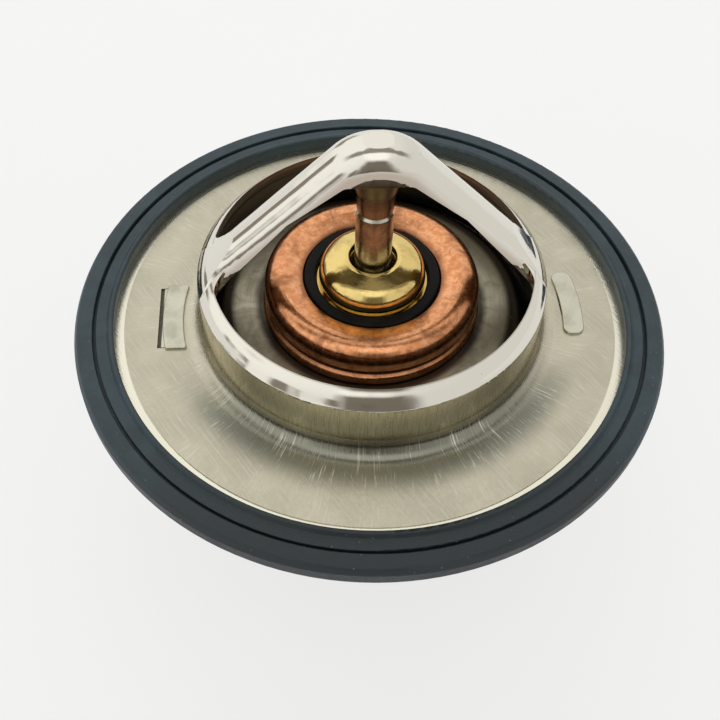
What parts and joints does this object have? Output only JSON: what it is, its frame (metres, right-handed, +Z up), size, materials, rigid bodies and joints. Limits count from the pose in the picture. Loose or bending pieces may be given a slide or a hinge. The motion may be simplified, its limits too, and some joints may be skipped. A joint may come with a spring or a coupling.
{
  "type": "engine thermostat",
  "caption": "Wax-element coolant valve for an engine: drawn steel flange with bridge, rubber rim gasket, copper element, sprung main valve and bypass valve.",
  "frame": {"origin": "on the main axis, in the plane of the flange's top face", "axes": "+Z up along the piston pin towards the bridge, X along the bridge's two arms, Y across them"},
  "size_m": [0.068, 0.068, 0.0621],
  "materials": {
    "flange_steel": "drawn steel sheet, satin on the flange, bright on ring and bridge",
    "gasket_rubber": "moulded rubber, satin",
    "pin_steel": "ground steel",
    "frame_steel": "pressed steel, satin",
    "copper": "drawn copper, satin, stained",
    "brass": "turned brass, polished",
    "seal_rubber": "black rubber",
    "valve_steel": "pressed steel, satin",
    "spring_steel": "drawn spring wire",
    "wax": "filled wax",
    "washer_plastic": "white plastic"
  },
  "bodies": {
    "housing_frame": {"flange_and_bridge": "flange_steel", "rim_gasket": "gasket_rubber", "piston_pin": "pin_steel", "lower_frame": "frame_steel", "main_spring": "spring_steel"},
    "valve": {"wax_cup": "copper", "brass_guide": "brass", "seal_ring": "seal_rubber", "backup_washer": "washer_plastic", "rubber_sleeve": "seal_rubber", "wax_charge": "wax", "valve_disc": "valve_steel", "bypass_stem": "pin_steel", "stem_clip": "spring_steel", "bypass_spring": "spring_steel"},
    "bypass_valve": {"bypass_disc": "valve_steel"}
  },
  "joints": [
    {"name": "valve_lift", "type": "slide", "parent": "housing_frame", "child": "valve", "axis": [0, 0, -1], "range_m": [0, 0.008], "stiffness_N_per_m": 2000, "springref_m": -0.015, "deforming": ["main_spring"]},
    {"name": "bypass_slide", "type": "slide", "parent": "valve", "child": "bypass_valve", "axis": [0, 0, 1], "range_m": [0, 0.003], "stiffness_N_per_m": 1500, "springref_m": -0.005, "deforming": ["bypass_spring"]}
  ]
}
